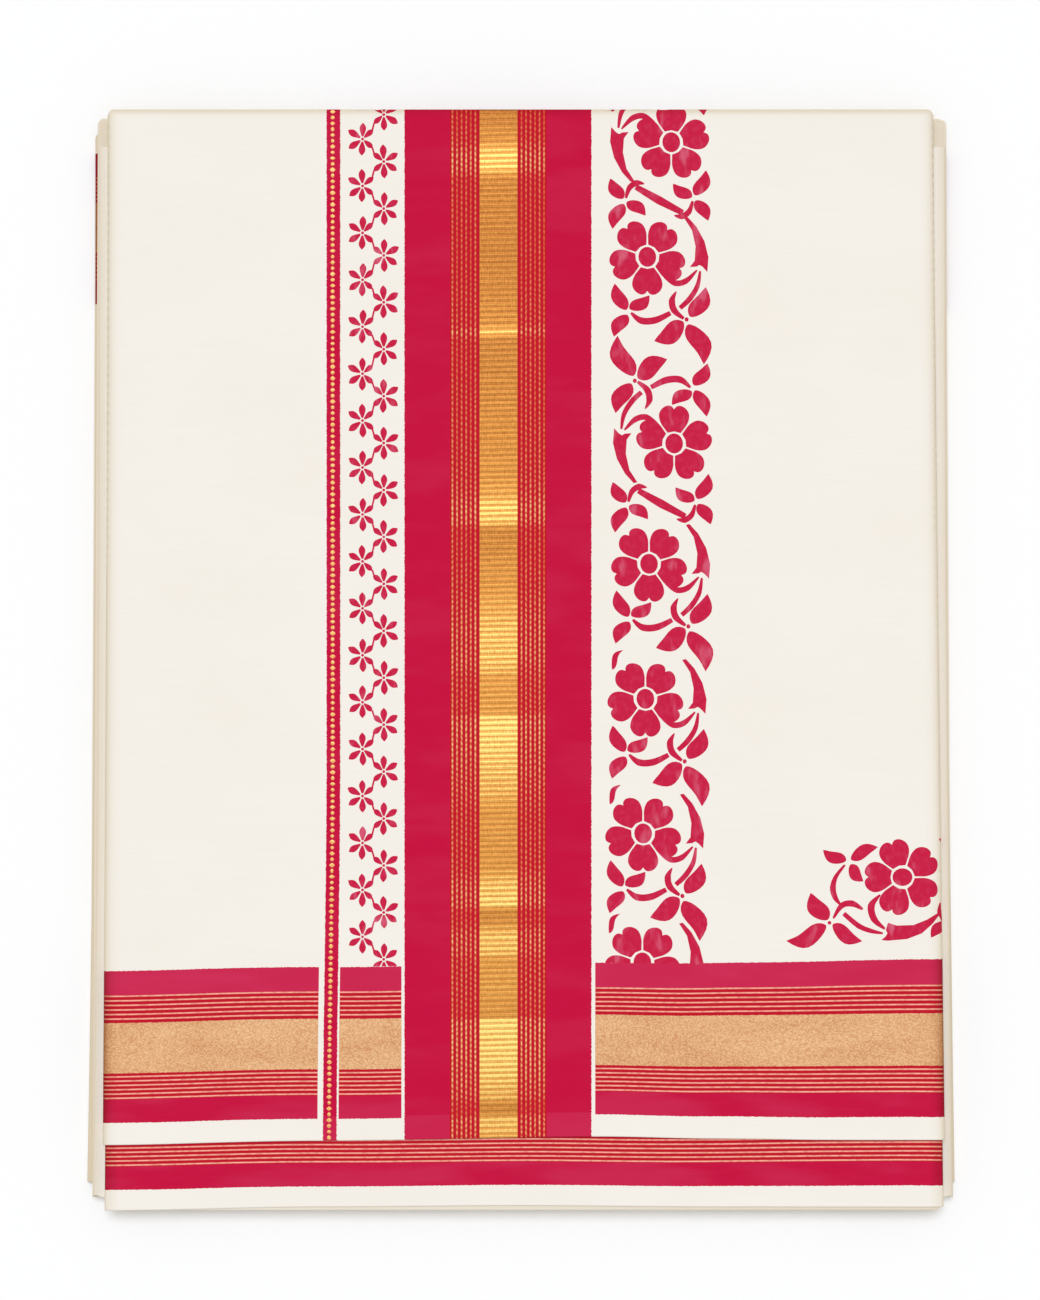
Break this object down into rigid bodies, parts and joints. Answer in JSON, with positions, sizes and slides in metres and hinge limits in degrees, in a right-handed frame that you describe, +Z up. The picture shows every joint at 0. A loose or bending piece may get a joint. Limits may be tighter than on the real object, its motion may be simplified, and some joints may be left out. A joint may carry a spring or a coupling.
{
  "type": "folded saree",
  "caption": "Printed cotton saree folded flat into a shelf pack, with its pallu band and borders on top and its side folds stacked below.",
  "frame": {"origin": "on the surface that the pack lies on, under the middle of its outline", "axes": "+Z up out of the printed face, +Y from the selvedges towards the lengthwise fold, +X along the folded cloth to the right"},
  "size_m": [0.461, 0.5794, 0.0179],
  "materials": {
    "printed_cotton": "off-white woven cotton printed crimson, with matte gold bands",
    "plain_cotton": "off-white plain woven cotton, soft and matte"
  },
  "bodies": {
    "root": {"pallu_front_half": "printed_cotton", "pallu_back_half": "printed_cotton", "middle_left_fold": "plain_cotton", "middle_right_fold": "plain_cotton", "lowest_turn": "plain_cotton", "hidden_folds": "plain_cotton"}
  },
  "joints": []
}
